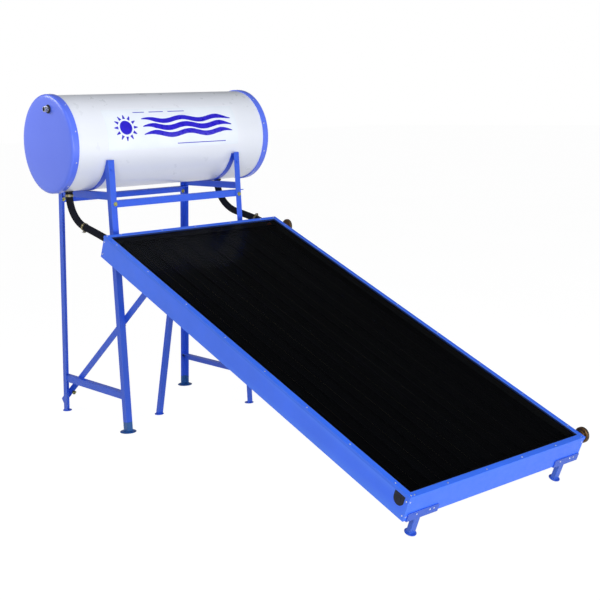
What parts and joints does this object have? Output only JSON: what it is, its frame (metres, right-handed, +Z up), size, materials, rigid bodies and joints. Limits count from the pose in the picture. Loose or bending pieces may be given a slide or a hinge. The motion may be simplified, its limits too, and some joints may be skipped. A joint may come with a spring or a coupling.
{
  "type": "solar water heater",
  "caption": "Thermosyphon solar water heater: an insulated horizontal tank on a splayed steel-angle stand, feeding a tilted flat-plate glazed collector through two hoses.",
  "frame": {"origin": "on the ground under the centre of the whole heater's bounding box, hoses and clamps left out", "axes": "+X along the tank axis to the right seen from the collector's low end, +Y from the collector's low end towards the tank and stand, +Z up"},
  "size_m": [1.201, 2.6501, 1.6205],
  "materials": {
    "stand_paint": "gloss powder coat, blue",
    "shoe_paint": "gloss paint, teal blue",
    "frame_paint": "satin powder coat on aluminium, light blue",
    "bead_paint": "satin powder coat on aluminium, blue",
    "solar_glass": "low-iron tempered glass",
    "absorber": "black selective coating",
    "copper": "copper tube",
    "rubber": "matt black rubber",
    "brass": "dull cast brass",
    "mineral_wool": "glass wool slab",
    "galvanised": "galvanised sheet",
    "tank_white": "gloss white coated steel",
    "cap_blue": "satin blue moulded cover",
    "foam_fill": "rigid polyurethane foam",
    "steel": "stainless steel",
    "zinc": "yellow zinc plated",
    "hose_foam": "matt black foam sleeve"
  },
  "bodies": {
    "root": {"frame_side_left": "frame_paint", "frame_side_right": "frame_paint", "frame_end_lower": "frame_paint", "frame_end_upper": "frame_paint", "glazing_bead_left": "bead_paint", "glazing_bead_right": "bead_paint", "glazing_bead_lower": "bead_paint", "glazing_bead_upper": "bead_paint", "cover_glass": "solar_glass", "absorber_fins": "absorber", "header_upper": "copper", "header_lower": "copper", "cold_spigot": "copper", "header_plug_left": "rubber", "header_flange_lower": "brass", "header_flange_upper": "brass", "insulation_slab": "mineral_wool", "back_sheet": "galvanised", "end_bracket_left": "stand_paint", "end_foot_left": "stand_paint", "end_bracket_right": "stand_paint", "end_foot_right": "stand_paint", "leg_front_left": "stand_paint", "leg_front_right": "stand_paint", "leg_rear_left": "stand_paint", "leg_rear_right": "stand_paint", "foot_front_left": "shoe_paint", "foot_front_right": "stand_paint", "foot_rear_left": "stand_paint", "foot_rear_right": "shoe_paint", "foot_prop": "stand_paint", "crossbar_front": "stand_paint", "crossbar_rear": "stand_paint", "tank_tie_left": "stand_paint", "tank_tie_right": "stand_paint", "saddle_strap_left": "stand_paint", "saddle_strap_right": "stand_paint", "low_tie_left": "stand_paint", "low_tie_right": "stand_paint", "brace_left": "stand_paint", "prop_leg": "stand_paint", "collector_rest_bar": "stand_paint", "tank_shell": "tank_white", "tank_insulation": "foam_fill", "tank_cap_left": "cap_blue", "tank_cap_right": "cap_blue", "inner_tank": "steel", "hot_outlet_nipple": "steel", "hot_outlet_grommet": "rubber", "tank_nipple_left": "brass", "tank_nipple_right": "brass", "hose_left": "hose_foam", "hose_right": "hose_foam", "hose_clamp_left_top": "zinc", "hose_clamp_left_mid": "zinc", "hose_clamp_right": "zinc"},
    "clamp_left_top_screw": {"hose_clamp_left_top_screw": "zinc"},
    "clamp_left_mid_screw": {"hose_clamp_left_mid_screw": "zinc"},
    "clamp_right_screw": {"hose_clamp_right_screw": "zinc"}
  },
  "joints": [
    {"name": "clamp_left_top_screw_turn", "type": "hinge", "parent": "root", "child": "clamp_left_top_screw", "pos_m": [-0.46141, 0.9011, 1.13914], "axis": [-0.9999, 0, -0.0125], "continuous": true},
    {"name": "clamp_left_mid_screw_turn", "type": "hinge", "parent": "root", "child": "clamp_left_mid_screw", "pos_m": [-0.4491, 0.82676, 0.96885], "axis": [-0.9963, -0.0828, -0.0227], "continuous": true},
    {"name": "clamp_right_screw_turn", "type": "hinge", "parent": "root", "child": "clamp_right_screw", "pos_m": [0.49225, 0.68284, 0.98184], "axis": [-0.9935, -0.1098, -0.0294], "continuous": true}
  ]
}
